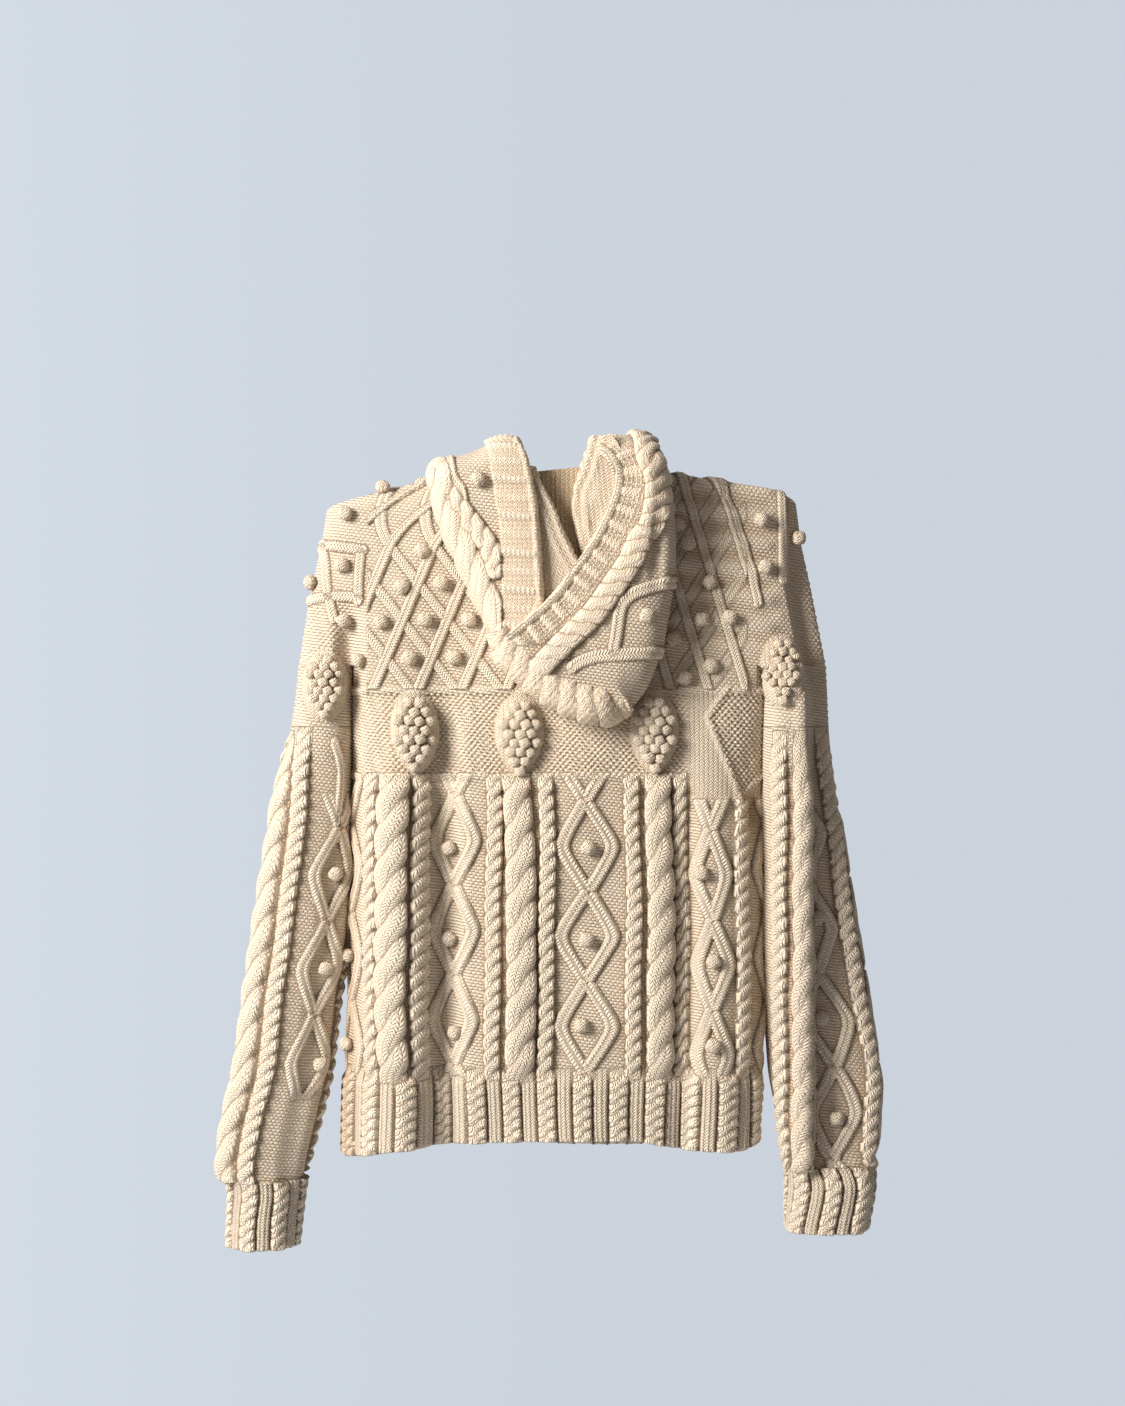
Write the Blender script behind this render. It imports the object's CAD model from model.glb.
"""The looks of a hooded cable-knit pullover that hangs by its neck, seen from behind, around its CAD frame.

Lengths are millimetres in the shape functions and metres in Blender. X runs right as seen from behind,
the back faces -Y and Z is up.
"""

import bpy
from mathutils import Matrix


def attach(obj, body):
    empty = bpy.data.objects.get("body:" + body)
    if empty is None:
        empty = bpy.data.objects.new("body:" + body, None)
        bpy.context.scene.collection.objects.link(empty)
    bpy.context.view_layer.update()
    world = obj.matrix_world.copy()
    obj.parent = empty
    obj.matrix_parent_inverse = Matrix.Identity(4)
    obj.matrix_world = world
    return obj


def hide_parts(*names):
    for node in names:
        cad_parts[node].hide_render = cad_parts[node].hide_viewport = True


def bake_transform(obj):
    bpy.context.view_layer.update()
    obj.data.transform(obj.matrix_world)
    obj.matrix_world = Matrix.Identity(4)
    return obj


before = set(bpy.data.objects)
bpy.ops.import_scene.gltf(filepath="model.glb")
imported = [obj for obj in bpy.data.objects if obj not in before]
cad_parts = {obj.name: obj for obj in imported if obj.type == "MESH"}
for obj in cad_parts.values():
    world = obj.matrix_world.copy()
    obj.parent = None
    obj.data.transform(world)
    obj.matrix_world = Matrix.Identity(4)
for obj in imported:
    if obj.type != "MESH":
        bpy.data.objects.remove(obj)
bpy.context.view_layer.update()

import math

import bpy
import numpy as np
from mathutils import Vector

MM = 0.001
FINE = 1.0  # grid step on the back, mm
COARSE = 1.4  # grid step on the front and the linings, mm
COLUMN = 4.2  # one stitch across, mm
ROW = 2.8  # one stitch up, mm
SOFT = 0.8  # the kind of stitch between purl and plain knit
RIB_TALL = 4.2  # how far the ribs stand out, mm
SEAM = 2.2  # how far the ridges round the moss stand out, mm
RNG = np.random.default_rng(7)

# ---- numbers that follow the CAD

ARMHOLE = -203.0
NECK_Z = -22.0


def profile(rows, soft=9.0):
    """Value against height, from rows of (height, value), with its corners rounded over +-soft mm."""
    keys = np.array([r[0] for r in rows], float)
    values = np.array([r[1] for r in rows], float)
    order = np.argsort(keys)
    keys, values = keys[order], values[order]
    taps = np.linspace(-soft, soft, 5)

    def value(z):
        z = np.asarray(z, float)
        return sum(np.interp(z + t, keys, values) for t in taps) / len(taps)

    return value


BODY_LEFT = profile([(-203, -187), (-378, -188), (-430, -190), (-504, -189), (-560, -192), (-648, -194)])
BODY_RIGHT = profile([(-203, 190), (-340, 189), (-459, 188), (-549, 190), (-621, 181), (-648, 183)])
BODY_DEPTH = profile([(-203, 38), (-380, 40), (-576, 38), (-648, 36)])
YOKE_LEFT = profile(
    [
        (-22, -78), (-26, -90), (-31, -110), (-35, -132), (-44, -159), (-49, -188), (-58, -211),
        (-90, -216), (-144, -228), (-203, -237),
    ],
    3.0,
)
YOKE_RIGHT = profile(
    [(-22, 78), (-25, 100), (-29, 129), (-37, 165), (-43, 204), (-52, 219), (-90, 224), (-126, 232), (-203, 247)],
    3.0,
)
YOKE_DEPTH = profile([(-22, 30), (-60, 37), (-203, 38)])
HEM = profile([(-193, -649), (-141, -646), (-105, -638), (0, -630), (48, -630), (80, -640), (140, -642), (183, -634)])
HEM_FRONT = profile([(-193, -649), (-60, -640), (40, -646), (183, -636)])
SLEEVE_OUTER = {
    -1: profile(
        [
            (-203, -237), (-234, -240), (-288, -249), (-360, -260), (-441, -274), (-495, -281), (-558, -290),
            (-612, -301), (-655, -307), (-668, -305), (-680, -299), (-733, -301),
        ]
    ),
    1: profile(
        [
            (-203, 247), (-270, 250), (-342, 259), (-414, 270), (-486, 282), (-585, 297), (-640, 294),
            (-657, 290), (-684, 290), (-720, 283),
        ]
    ),
}
SLEEVE_INNER = {
    -1: profile(
        [(-203, -187), (-414, -189), (-468, -196), (-504, -203), (-576, -211), (-657, -231), (-733, -240)]
    ),
    1: profile([(-203, 186), (-459, 187), (-504, 189), (-576, 194), (-639, 206), (-666, 213), (-720, 211)]),
}
SLEEVE_DEPTH = profile([(-203, 34), (-500, 33), (-657, 31), (-733, 28)])
CUFF_BOTTOM = {-1: -733.0, 1: -718.0}
CUFF_TOP = {-1: -672.0, 1: -661.0}
# x of the sharp fold down the right sleeve, where its inner strip lies in front of the rest
STRIP_EDGE = profile([(-45, 203), (-125, 205), (-150, 209), (-184, 216), (-213, 221), (-234, 224), (-650, 224)])


def smooth(lo, hi, x):
    """0 at lo and 1 at hi, with eased ends. lo may be the larger."""
    t = np.clip((np.asarray(x, float) - lo) / (hi - lo), 0, 1)
    return t * t * (3 - 2 * t)


def bell(x, centre, half):
    """A smooth bump, 1 at the centre and 0 from half away."""
    t = np.clip(np.abs(np.asarray(x, float) - centre) / half, 0, 1)
    return (1 - t * t) ** 2


# ---- knit relief


class Knit:
    """Relief over a piece of fabric: height in mm, and the stitch coordinates that the material reads.

    p runs across the fabric and z up it. kind is 0 for purl ground, 0.5 for moss, 1 for plain knit and SOFT for
    plain knit whose stitches show less.
    """

    def __init__(self, p, z):
        self.p, self.z = p, z
        self.h = np.zeros_like(p)
        self.column = p / COLUMN
        self.row = z / ROW
        self.kind = np.zeros_like(p)

    def lay(self, inside, h, column, row, kind=1.0):
        """Lays something over the ground where it stands higher."""
        on = inside & (h > self.h)
        self.h = np.where(on, h, self.h)
        self.column = np.where(on, column, self.column)
        self.row = np.where(on, row, self.row)
        self.kind = np.where(on, kind, self.kind)

    def swell(self, h):
        """Lifts everything, as padding under the fabric does."""
        self.h = self.h + h

    def rope(self, d, s, width, pitch, tall, columns=3, where=True, weight=1.0, swing=0.2, dive=0.13):
        """A cable: two round strands that wind about each other. The one in front climbs to the right."""
        xi = np.clip(d / (width / 2), -1, 1)
        best = 0.34 * tall * np.sqrt(1 - np.abs(xi) ** 2.4)
        column, row = d / COLUMN, s / ROW
        half = (0.5 - swing) * width * 1.12
        for turn in (0, 1):
            phase = math.pi * (s / pitch + turn)
            slope = swing * width * math.pi / pitch * np.cos(phase)
            off = (d - swing * width * np.sin(phase)) / np.sqrt(1 + slope**2)
            bulge = np.sqrt(np.clip(1 - (off / half) ** 2, 0, 1))
            h = tall * (0.24 + dive * np.cos(phase) + (0.76 - dive) * bulge)
            upper = (h > best) & (np.abs(off) < half)
            best = np.where(upper, h, best)
            column = np.where(upper, off / half * columns / 2 + 0.5 * (columns % 2), column)
            row = np.where(upper, 0.87 * (s + d * slope) / ROW, row)
        edge = np.clip((1 - np.abs(xi)) / 0.12, 0, 1) ** 0.5
        self.lay((np.abs(d) < width / 2) & where, best * edge * weight, column, row)

    def strand(self, d, s, width, tall, weight=1.0, where=True):
        """A travelling line of a few plain stitches on the purl ground."""
        xi = np.clip(d / (width / 2), -1, 1)
        plies = 0.76 + 0.24 * np.abs(np.sin(math.pi * xi)) ** 0.7
        h = tall * np.sqrt(1 - np.abs(xi) ** 3.4) * plies * weight
        self.lay((np.abs(d) < width / 2) & where, h, xi, s / ROW)

    def diamonds(self, p, z, half, pitch, width=12.5, tall=3.6, where=True, weight=1.0):
        """Two strands that cross and part. The widest place is where z is a whole number of pitches."""
        t = z / pitch + 0.5
        f = t - np.floor(t)
        w = np.abs(2 * f - 1)
        off = half * (1.035 - np.sqrt(w * w + 0.022))
        cosine = 1 / math.hypot(1, 2 * half / pitch)
        rising = np.where(f < 0.5, 1, -1) * np.sign(p) > 0
        under = (1 - 0.55 * smooth(0.86, 0.99, w) * (~rising)) * weight
        d = (np.abs(p) - off) * cosine
        self.strand(d, z, width, tall, under, where)

    def moss(self, amount):
        """Small round bumps, set as on a draughtboard."""
        bumps = 1.3 * np.cos(2 * math.pi * self.p / 5.6) * np.cos(2 * math.pi * self.z / 6.2)
        self.h = self.h + bumps * amount
        self.kind = np.where(amount > 0.5, 0.5, self.kind)

    def soften(self):
        """Makes the plain stitches show less."""
        self.kind = np.where(self.kind > 0.5, SOFT, self.kind)

    def ribs(self, p, z, period, pitch, centre, where, weight=1.0):
        """Plain ribs and narrow ropes by turns. A rope is at centre."""
        t = (p - centre) / period
        d, e = [(part - np.round(part)) * period for part in (t, t - 0.5)]
        self.rope(d, z, 0.53 * period, pitch, 1.6 * RIB_TALL, 2, where, weight)
        half = 0.205 * period
        xi = np.clip(np.abs(e) / half, 0, 1)
        column = e / (half / 1.5)
        lines = 0.66 + 0.34 * np.abs(np.sin(math.pi * (column + 0.5))) ** 0.8
        h = 0.95 * RIB_TALL * np.clip(1 - xi**3, 0, 1) ** 0.5 * lines
        self.lay((np.abs(e) < half) & where, h * weight, column + 0.5, z / ROW)


def soft_welts(s, period):
    """From 0 to 1 and back over each period, and every other crest is lower."""
    turns = np.round(s / period)
    crest = bell(s - turns * period, 0, 0.33 * period)
    return crest * np.where(turns % 2 == 0, 1.0, 0.55)


def along(path, x, z):
    """Signed distance from a polyline and the arc length along it. The right-hand side is positive."""
    best = np.full(x.shape, 1e9)
    dist = np.zeros_like(x)
    arc = np.zeros_like(x)
    run = 0.0
    last = len(path) - 2
    for i, ((x0, z0), (x1, z1)) in enumerate(zip(path[:-1], path[1:])):
        dx, dz = x1 - x0, z1 - z0
        length = math.hypot(dx, dz)
        t = ((x - x0) * dx + (z - z0) * dz) / length**2
        t = np.clip(t, -0.04 if i == 0 else 0, 1.04 if i == last else 1)
        ex, ez = x - x0 - t * dx, z - z0 - t * dz
        away = np.hypot(ex, ez)
        side = np.where(dx * ez - dz * ex > 0, -1.0, 1.0)
        near = away < best
        best = np.where(near, away, best)
        dist = np.where(near, away * side, dist)
        arc = np.where(near, run + t * length, arc)
        run += length
    return dist, arc


def catmull(points, t):
    """A smooth curve through points or rows of points, read at t from 0 to the last one."""
    points = np.asarray(points, float)
    last = len(points) - 1
    padded = np.concatenate([2 * points[:1] - points[1:2], points, 2 * points[-1:] - points[-2:-1]])
    t = np.clip(t, 0, last - 1e-9)
    i = t.astype(int)
    f = (t - i).reshape((-1,) + (1,) * (points.ndim - 1))
    a, b, c, d = padded[i], padded[i + 1], padded[i + 2], padded[i + 3]
    return 0.5 * (2 * b + (c - a) * f + (2 * a - 5 * b + 4 * c - d) * f**2 + (3 * b - a - 3 * c + d) * f**3)


def curve(points, count=48):
    """A smooth polyline through a few points."""
    return [tuple(q) for q in catmull(points, np.linspace(0, len(points) - 1, count + 1))]


# Cables of the body, by distance from the middle of the back: a big rope has its place, its width and how much
# further left it is at the top, and a line of diamonds its place, half width and a widest height.
BIG_ROPES = [(-148.0, 26.0, 0.0), (-32.0, 28.0, -5.0), (92.0, 24.0, 0.0)]
MINI_ROPES = [-169.5, -125.0, -57.5, -9.5, 68.5, 112.5, 168.0]
DIAMONDS = [(-93.5, 20.0, -361.0), (26.5, 26.0, -366.0), (140.0, 15.5, -392.0)]
SIDE_DIAMOND = (-205.0, 20.0, -468.0)
DIAMOND_PITCH = 81.5
MOSS_TOP, MOSS_BOTTOM = -226.0, -303.0
RIB_TOP = -577.0
CLUSTERS = [(-129.0, -263.0), (-33.0, -266.0), (88.0, -263.0)]


def warp(p, z):
    """The small wander of the stitch columns."""
    return p + 1.0 * np.sin(z / 51 + p / 70) + 0.7 * np.sin(z / 23 + p / 41 + 2)


def cluster_dome(p, z, centre):
    """The swelling of the fabric under a grape cluster."""
    x, y = centre
    wide = 23 - 5 * smooth(y, y - 38, z)
    r = ((p - x) / wide) ** 2 + ((z - y) / 39) ** 2
    return 9.0 * np.clip(1 - r, 0, 1) ** 0.75


def rhomb_gap(x, z):
    """Distance in mm outside the edge of the moss rhomb under the right arm, negative inside it."""
    left_up, left_low = along([(168, -203), (137, -250)], x, z)[0], along([(137, -250), (166, -322)], x, z)[0]
    bottom = along([(166, -322), (197, -300)], x, z)[0]
    return np.maximum(np.maximum(left_up, left_low), bottom)


def body_relief(p, z, front=False):
    """The body below the yoke: moss, cables, diamonds and the ribbed hem."""
    q = warp(p, z)
    k = Knit(q, z)
    cabled = (z < MOSS_BOTTOM + 4) & (z > RIB_TOP - 14)
    side = np.where(q > 0, q - 410, q)
    start = smooth(MOSS_BOTTOM + 3, MOSS_BOTTOM - 12, z)
    fade = smooth(RIB_TOP - 14, RIB_TOP + 22, z)
    for centre in MINI_ROPES:
        k.rope(q - centre, z, 15.5, 13.8, 7.4, 2, cabled, start * fade, 0.2, 0.2)
    for centre, width, off in BIG_ROPES:
        place = centre + off * smooth(-430, -300, z)
        k.rope(q - place, z + 9, width, 31, 12.0, 4, cabled, start * fade, 0.165)
    for centre, half, widest in DIAMONDS:
        k.diamonds(q - centre, z - widest, half, DIAMOND_PITCH, where=cabled, weight=start * fade)
    centre, half, widest = SIDE_DIAMOND
    k.diamonds(side - centre, z - widest, half, DIAMOND_PITCH, where=cabled, weight=start * fade)
    mossy = smooth(MOSS_TOP + 3, MOSS_TOP - 3, z) * smooth(MOSS_BOTTOM - 3, MOSS_BOTTOM + 3, z)
    for centre in CLUSTERS:
        dome = cluster_dome(q, z, centre) * (0.45 if front else 1)
        mossy = mossy * (dome < 0.5)
        leaf = 0.9 * np.cos((q - centre[0]) / 3.1) * smooth(0.3, 3, dome)
        k.swell(dome + 0.35 * leaf)
        k.kind = np.where(dome > 0.5, 1.0, k.kind)
        stem = bell(q, centre[0] - 3, 11) * smooth(MOSS_BOTTOM - 2, MOSS_BOTTOM + 24, z) * (z < centre[1])
        k.swell(3.0 * stem * (dome < 0.5))
    for level in (MOSS_TOP, MOSS_BOTTOM):
        k.swell(SEAM * bell(z, level, 5.5))
    if not front:
        # the right end of the moss band is a moss rhomb in a plain ground, and the cables start lower there
        bare = smooth(116, 122, q) * smooth(-328, -320, z)
        k.h = np.where(z < MOSS_BOTTOM + 4, k.h * (1 - bare), k.h)
        gap = rhomb_gap(q, z)
        rhomb = smooth(1.0, -1.0, gap)
        mossy = mossy * (1 - smooth(112, 120, q)) + rhomb
        k.kind = np.where((bare > 0.5) & (rhomb < 0.5), 1.0, k.kind)
        k.row = np.where(bare > 0.5, z / ROW, k.row)
        k.column = np.where(bare > 0.5, q / COLUMN, k.column)
        k.swell(SEAM * bell(gap, 0, 5) * bare)
    k.moss(mossy)
    k.ribs(q, z, 32.4, 10.0, -8.0, z < RIB_TOP + 10, smooth(RIB_TOP + 10, RIB_TOP - 8, z))
    return k


LEFT_CELLS = ((-131.4, -94.5), (26.1, -33.6), (-14.4, -34.2))
RIGHT_CELLS = ((144.0, -77.4), (11.4, -37.5), (-23.4, -36.0))


def in_cells(cells, x, z):
    """Lattice coordinates, whole numbers at the middles of the cells."""
    (x0, z0), (ax, az), (bx, bz) = cells
    det = ax * bz - az * bx
    dx, dz = x - x0, z - z0
    return (dx * bz - dz * bx) / det, (ax * dz - az * dx) / det


def cell_point(cells, a, b):
    """x and z at lattice coordinates a and b."""
    (x0, z0), (ax, az), (bx, bz) = cells
    return x0 + a * ax + b * bx, z0 + a * az + b * bz


def lattice(k, cells, x, z, where):
    """A net of crossing strands. The second family of strands, that climbs to the right, lies on top."""
    (_, _), (ax, az), (bx, bz) = cells
    det = abs(ax * bz - az * bx)
    a, b = in_cells(cells, x, z)
    da = (a - np.floor(a) - 0.5) * det / math.hypot(bx, bz)
    db = (b - np.floor(b) - 0.5) * det / math.hypot(ax, az)
    steep = cells is RIGHT_CELLS
    k.strand(db, (x * ax + z * az) / math.hypot(ax, az), 9.5, 3.0 if steep else 2.4, where=where)
    k.strand(da, (x * bx + z * bz) / math.hypot(bx, bz), 10.5, 0.6 if steep else 3.6, where=where)


CAP_STRANDS = [
    [(-214, -92), (-211, -112), (-209, -134), (-203, -160)],
    [(-226, -143), (-206, -140), (-180, -141)],
    [(-222, -96), (-206, -94), (-176, -98)],
    [(-178, -100), (-180, -124), (-180, -144)],
    [(140, -30), (155, -54), (167, -87), (177, -120), (182, -146)],
    [(204, -40), (205, -75), (205, -125)],
]
SLEEVE_CLUSTERS = {-1: (-211.0, -221.0), 1: (204.0, -208.0)}


def top_relief(x, z, back=1.0):
    """The yoke and the sleeve caps, over x and z as seen from behind. back is 0 on the front of a cap."""
    k = Knit(x, z)
    on_yoke = z > MOSS_TOP + 1
    bend = np.clip(z + 100, 0, 60)
    lattice(k, LEFT_CELLS, x - 0.012 * bend**2, z, on_yoke & (x < 20) & (x > -172))
    lattice(k, RIGHT_CELLS, x, z, on_yoke & (x >= 20) & (x < 172))
    for path in CAP_STRANDS:
        d, s = along(curve(path, 16), x, z)
        k.strand(d, s, 9.5, 2.8)
    for centre in SLEEVE_CLUSTERS.values():
        r = ((x - centre[0]) / 21) ** 2 + ((z - centre[1]) / 34) ** 2
        dome = 7.0 * np.clip(1 - r, 0, 1) ** 0.8 * back
        k.swell(dome)
        k.kind = np.where(dome > 0.5, 1.0, k.kind)
    k.swell(SEAM * bell(z, MOSS_TOP, 5.5) * (np.abs(x) < 175))
    waves = smooth(80, 100, x) * smooth(205, 190, x) * smooth(-200, -170, z)
    k.swell(2.2 * np.cos(2 * math.pi * (z + 0.1 * x) / 25) * waves)
    outer = smooth(2, 10, x - STRIP_EDGE(z)) * smooth(-95, -115, z) * smooth(-262, -240, z)
    low = smooth(-120, -160, z) * smooth(-266, -246, z) * smooth(188, 196, np.abs(x))
    k.moss(0.45 * np.where(x > 0, outer, low * (k.kind < 0.5)))
    return k


def raglan_x(z):
    """Half the width between the two raglan seams."""
    t = np.clip((z - ARMHOLE) / (NECK_Z - ARMHOLE), 0, 1)
    return 180 + (77 - 180) * t


# Cables of a sleeve: (place across, where it starts), and (place, half, widest, start, end) for the diamonds.
LEFT_SLEEVE = {
    "mini": [(-12.5, -258), (-64, -250), (62, -330), (98, -330)],
    "big": [(-37.5, -262)],
    "diamond": [(26, 20, -392, -318, -598), (-92, 20, -410, -320, -700)],
}
RIGHT_STRIP = {"mini": [(-25, -262)], "big": [(-3.5, -262)], "diamond": []}
RIGHT_REST = {
    "mini": [(-13, -250), (38, -300), (-82, -330)],
    "big": [(62, -300)],
    "diamond": [(-47, 23, -611, -330, -700), (14, 20, -440, -330, -700), (90, 20, -440, -330, -700)],
}


def lay_sleeve(k, layout, p, z, where):
    """Lays the cables of one part of a sleeve."""
    for centre, start in layout["mini"]:
        weight = smooth(start, start - 40, z)
        k.rope(p - centre, z, 15.5, 13.8, 7.2, 2, where & (z < start), weight, 0.2, 0.2)
    for centre, start in layout["big"]:
        width, tall, columns = (27, 10.5, 4) if abs(centre) > 20 else (18, 8.0, 3)
        weight = smooth(start, start - 70, z)
        k.rope(p - centre, z + 4, width, 32.5, tall, columns, where & (z < start), weight, 0.17)
    for centre, half, widest, start, end in layout["diamond"]:
        weight = smooth(start, start - 20, z) * smooth(end, end + 14, z)
        on = where & (z < start) & (z > end)
        k.diamonds(p - centre, z - widest, half, 85.5, 12.0, 3.6, on, weight)


def sleeve_relief(p, z, side, strip, on_strip):
    """A sleeve below the armhole. p is the way round it: from the middle of the left sleeve's back face, and
    from the right sleeve's outer edge. On the right, strip is the way round from the sharp fold."""
    q = p + 1.0 * np.sin(z / 37 + 1) + 0.6 * np.sin(z / 17)
    k = Knit(q, z)
    low = z > CUFF_TOP[side]
    if side < 0:
        lay_sleeve(k, LEFT_SLEEVE, q, z, low)
        d, s = along(curve([(16, -272), (24, -300), (22, -345)], 12), q, z)
        k.strand(d, s, 9, 3.6)
    else:
        lay_sleeve(k, RIGHT_STRIP, strip + 0.6 * np.sin(z / 17), z, low & on_strip)
        lay_sleeve(k, RIGHT_REST, q, z, low & ~on_strip)
    k.ribs(q, z, 29.5, 10.8, -11.0 if side < 0 else 3.0, z < CUFF_TOP[side])
    return k


# ---- meshes


def normals(points):
    """Unit normals of a grid of points (rows, columns, 3), to the left-handed side of rows and columns."""
    du = np.gradient(points, axis=1)
    dv = np.gradient(points, axis=0)
    n = np.cross(du, dv)
    length = np.linalg.norm(n, axis=2, keepdims=True)
    return n / np.maximum(length, 1e-9)


def calm(values, half=20):
    """A moving mean over 2 half + 1 values."""
    kernel = np.ones(2 * half + 1) / (2 * half + 1)
    return np.convolve(np.pad(values, half, mode="edge"), kernel, mode="valid")


def blurred(values, half):
    """A box blur of a grid, twice, with its edges held."""
    for axis in (0, 1, 0, 1):
        values = np.apply_along_axis(calm, axis, values, half)
    return values


def grid_object(name, points, stitch, material, flip):
    """A mesh from a grid of points in mm, with its stitch coordinates and its cavities."""
    rows, columns = points.shape[:2]
    verts = (points.reshape(-1, 3) * MM).astype(np.float32)
    index = np.arange(rows * columns).reshape(rows, columns)
    a, b = index[:-1, :-1].ravel(), index[:-1, 1:].ravel()
    c, d = index[1:, 1:].ravel(), index[1:, :-1].ravel()
    quads = np.stack([a, d, c, b] if flip else [a, b, c, d], axis=1).astype(np.int32)
    mesh = bpy.data.meshes.new(name)
    mesh.vertices.add(len(verts))
    mesh.vertices.foreach_set("co", verts.ravel())
    mesh.loops.add(quads.size)
    mesh.loops.foreach_set("vertex_index", quads.ravel())
    mesh.polygons.add(len(quads))
    mesh.polygons.foreach_set("loop_start", np.arange(0, quads.size, 4, dtype=np.int32))
    mesh.update(calc_edges=True)
    mesh.polygons.foreach_set("use_smooth", np.ones(len(quads), bool))
    add_attributes(mesh, stitch)
    mesh.validate()
    return linked(name, mesh, material)


def linked(name, mesh, material):
    obj = bpy.data.objects.new(name, mesh)
    bpy.context.scene.collection.objects.link(obj)
    mesh.materials.append(material)
    return obj


def add_attributes(mesh, stitch):
    flat = stitch.reshape(-1, 4)
    attribute = mesh.attributes.new("stitch", "FLOAT_VECTOR", "POINT")
    attribute.data.foreach_set("vector", flat[:, :3].astype(np.float32).ravel())
    attribute = mesh.attributes.new("cavity", "FLOAT", "POINT")
    attribute.data.foreach_set("value", flat[:, 3].astype(np.float32).ravel())


def stitch_of(k):
    """Column, row, kind and cavity. The cavity is 0 in the grooves between raised stitches and 1 on their tops."""
    near, far = k.h - blurred(k.h, 2), k.h - blurred(k.h, 6)
    return np.stack([k.column, k.row, k.kind, np.clip(0.66 + 0.24 * near + 0.11 * far, 0, 1)], axis=2)


def even_columns(dense, count):
    """Points at even arc length along each row of a dense grid, and their arc length from the start."""
    rows = dense.shape[0]
    out = np.zeros((rows, count, 3))
    arc = np.zeros((rows, count))
    for j in range(rows):
        steps = np.linalg.norm(np.diff(dense[j], axis=0), axis=1)
        run = np.concatenate([[0], np.cumsum(steps)])
        want = np.linspace(0, run[-1], count)
        for axis in range(3):
            out[j, :, axis] = np.interp(want, run, dense[j, :, axis])
        arc[j] = want
    return out, arc


def ring(left, right, depth, power, turn):
    """x and y round a flattened tube: turn 0 left edge, 1 back, 2 right edge, 3 front."""
    angle = math.pi / 2 * (turn - 1)
    across = np.sin(angle)
    facing = np.where(np.cos(angle) >= 0, -1.0, 1.0)
    out = np.clip(1 - np.abs(across) ** power, 0, 1) ** (1 / power)
    return (left + right) / 2 + (right - left) / 2 * across, facing * depth * out


def back_folds(x, z):
    """How far the hanging back stands out, in mm, where its cloth folds."""
    grow = smooth(-150, -380, z)
    low = smooth(-300, -520, z)
    crest = -150 + 5 * low
    ridge = 24 * bell(x, crest, np.where(x > crest, 38, 55)) * smooth(-190, -360, z)
    valley = -12 * bell(x, -102, 24) * grow
    plateau = 4 * bell(x, 15, 105) * grow
    right_valley = -7 * bell(x, 113, 20) * smooth(-235, -400, z)
    right_ridge = 11 * bell(x, 150, 36) * smooth(-230, -380, z)
    hollow = -17 * bell(x, 180, 17) * bell(z, -342, 40) - 9 * bell(x, 174, 9) * bell(z, -334, 22)
    armpit = -15 * bell(x, -189, 17) * smooth(-132, -196, z)
    strip = -16 * smooth(0, 11, x - STRIP_EDGE(z)) * smooth(-62, -110, z)
    soft = 1.6 * np.sin(x / 29 + z / 90) * np.sin(z / 61 + 1.3) + 1.1 * np.sin(x / 17 - z / 47)
    hem = 4 * np.sin(x / 34 + 0.6) * smooth(-560, -640, z)
    return ridge + valley + plateau + right_valley + right_ridge + hollow + armpit + strip + soft + hem


def front_folds(x, z):
    """How far the hanging front stands out, in mm. It is smoother than the back."""
    grow = smooth(-150, -380, z)
    soft = 2.0 * np.sin(x / 33 + 1) * np.sin(z / 75) + 1.2 * np.sin(x / 19 + z / 53)
    return 0.7 * soft + grow * (1.5 * bell(x, -60, 60) + 2 * bell(x, 95, 55) - 5 * bell(x, 10, 50)) - 2 * grow


def body_points(side, step):
    """The body below the armholes, one side: rows down from the armholes to the hem."""
    count = int(435 / step)
    rows = int(445 / step)
    turns = np.linspace(0, 2, 500) if side == "back" else np.linspace(4, 2, 500)
    v = np.linspace(0, 1, rows)[:, None]
    flat_x = np.linspace(-190, 186, 500)[None, :]
    bottom = (HEM if side == "back" else HEM_FRONT)(flat_x)
    z = ARMHOLE + (bottom - ARMHOLE) * v
    power = 3.5 + 2.0 * smooth(-300, -203, z)
    x, y = ring(BODY_LEFT(z), BODY_RIGHT(z), BODY_DEPTH(z), power, turns[None, :])
    facing = -1 if side == "back" else 1
    inside = np.clip(np.abs(y) / BODY_DEPTH(z), 0, 1)
    folds = (back_folds if side == "back" else front_folds)(x, z)
    y = y + facing * folds * inside**1.5
    if side == "back":
        y = np.where(z > MOSS_TOP - 3, y + 2.5 * smooth(MOSS_TOP - 3, MOSS_TOP + 6, z), y)
    points, arc = even_columns(np.stack([x, y, z + 0 * x], axis=2), count)
    place = points[..., 0].copy()
    for j, row in enumerate(points[..., 0]):
        low, high = np.interp([-160.0, 165.0], row, arc[j])
        place[j] = np.where(arc[j] < low, arc[j] - low - 160.0, np.where(arc[j] > high, arc[j] - high + 165.0, row))
    return points, place


def finish_grid(points, k, facing):
    """Displaces a base grid by its relief, towards -Y where facing is -1 and +Y where it is 1."""
    n = normals(points)
    if np.mean(n[..., 1]) * facing < 0:
        n = -n
    return points + n * k.h[..., None], n


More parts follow.
